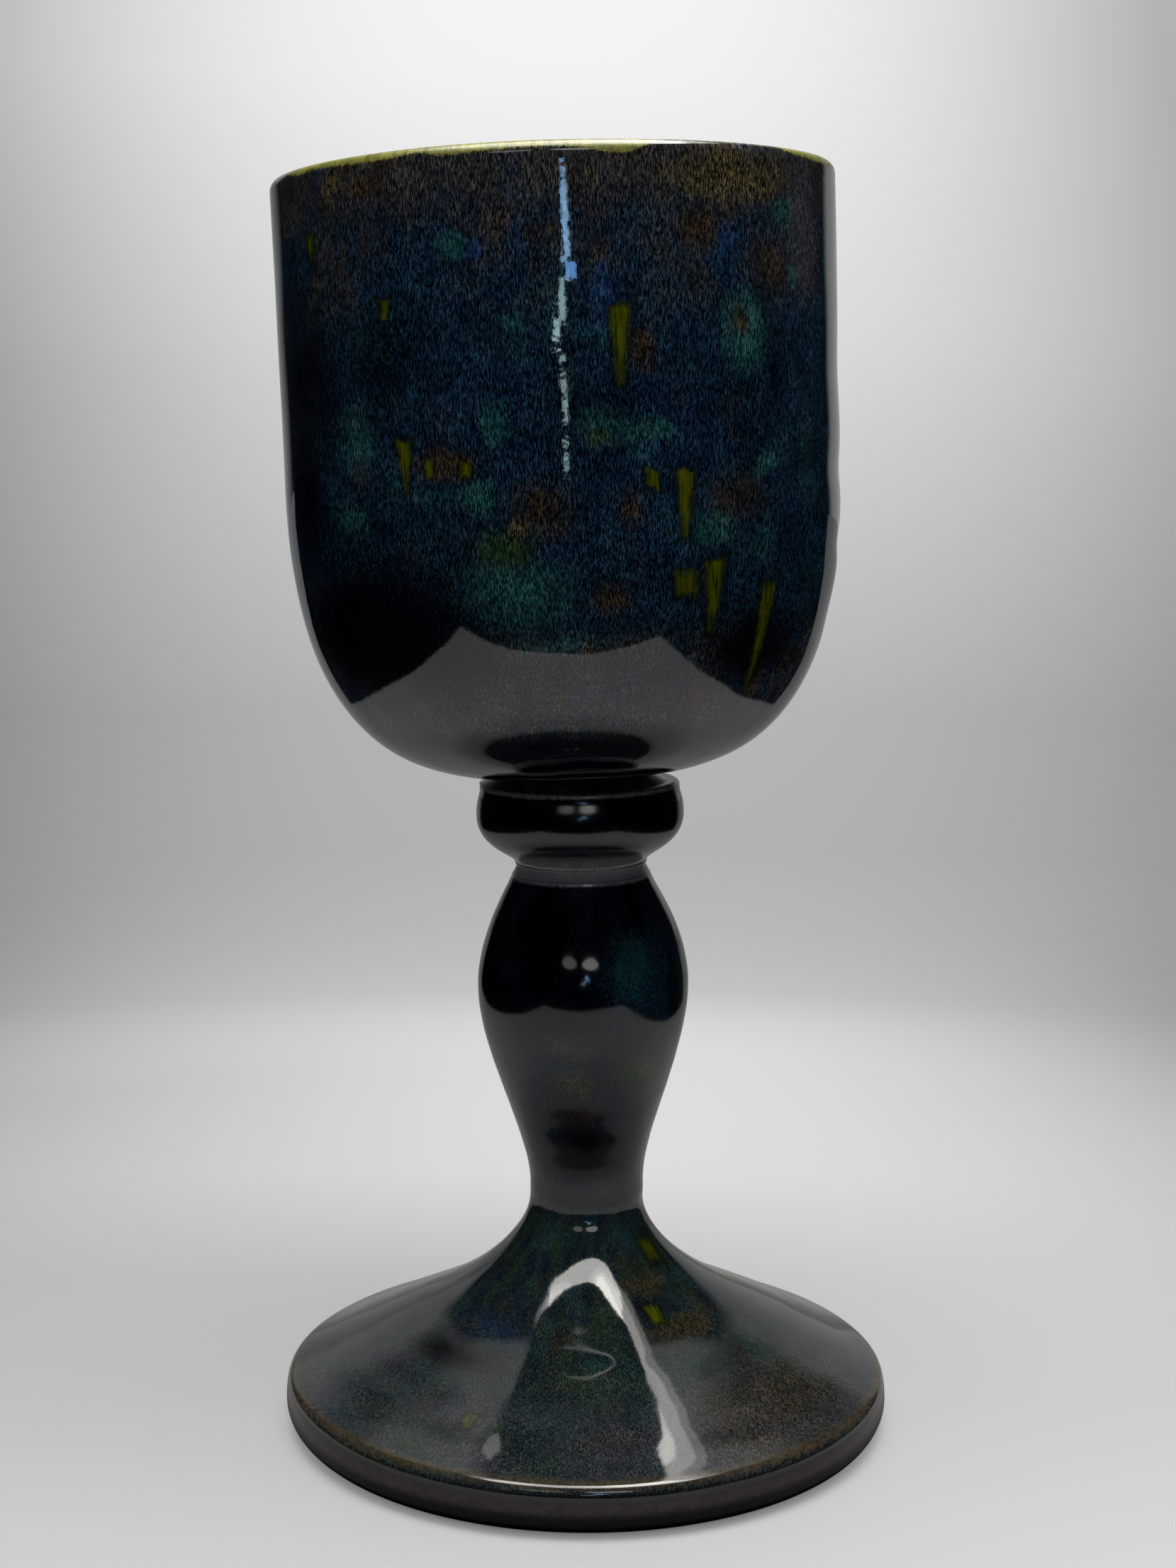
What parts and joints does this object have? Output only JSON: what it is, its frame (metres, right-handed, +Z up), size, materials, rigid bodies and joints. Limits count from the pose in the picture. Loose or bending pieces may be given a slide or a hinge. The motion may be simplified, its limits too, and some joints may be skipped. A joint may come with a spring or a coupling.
{
  "type": "ceramic chalice",
  "caption": "Stoneware chalice with a deep straight-sided bowl on a knopped baluster stem and a wide flared foot, under a dark mottled glaze.",
  "frame": {"origin": "on the surface that the chalice stands on, under the middle of the foot", "axes": "+Z up; the stem and bowl lean a little towards -X; the front as pictured faces -Y"},
  "size_m": [0.0935, 0.0934, 0.1914],
  "materials": {
    "reactive_glaze": "glossy blue-black reactive glaze with hare's-fur streaks, teal and brown mottling and olive drips, over stoneware",
    "fired_slip": "fired stoneware slip under the glaze"
  },
  "bodies": {
    "root": {"bowl": "reactive_glaze", "knop": "reactive_glaze", "stem": "reactive_glaze", "foot": "reactive_glaze", "slip_joint_bowl_to_knop": "fired_slip", "slip_joint_knop_to_stem": "fired_slip", "slip_joint_stem_to_foot": "fired_slip"}
  },
  "joints": []
}
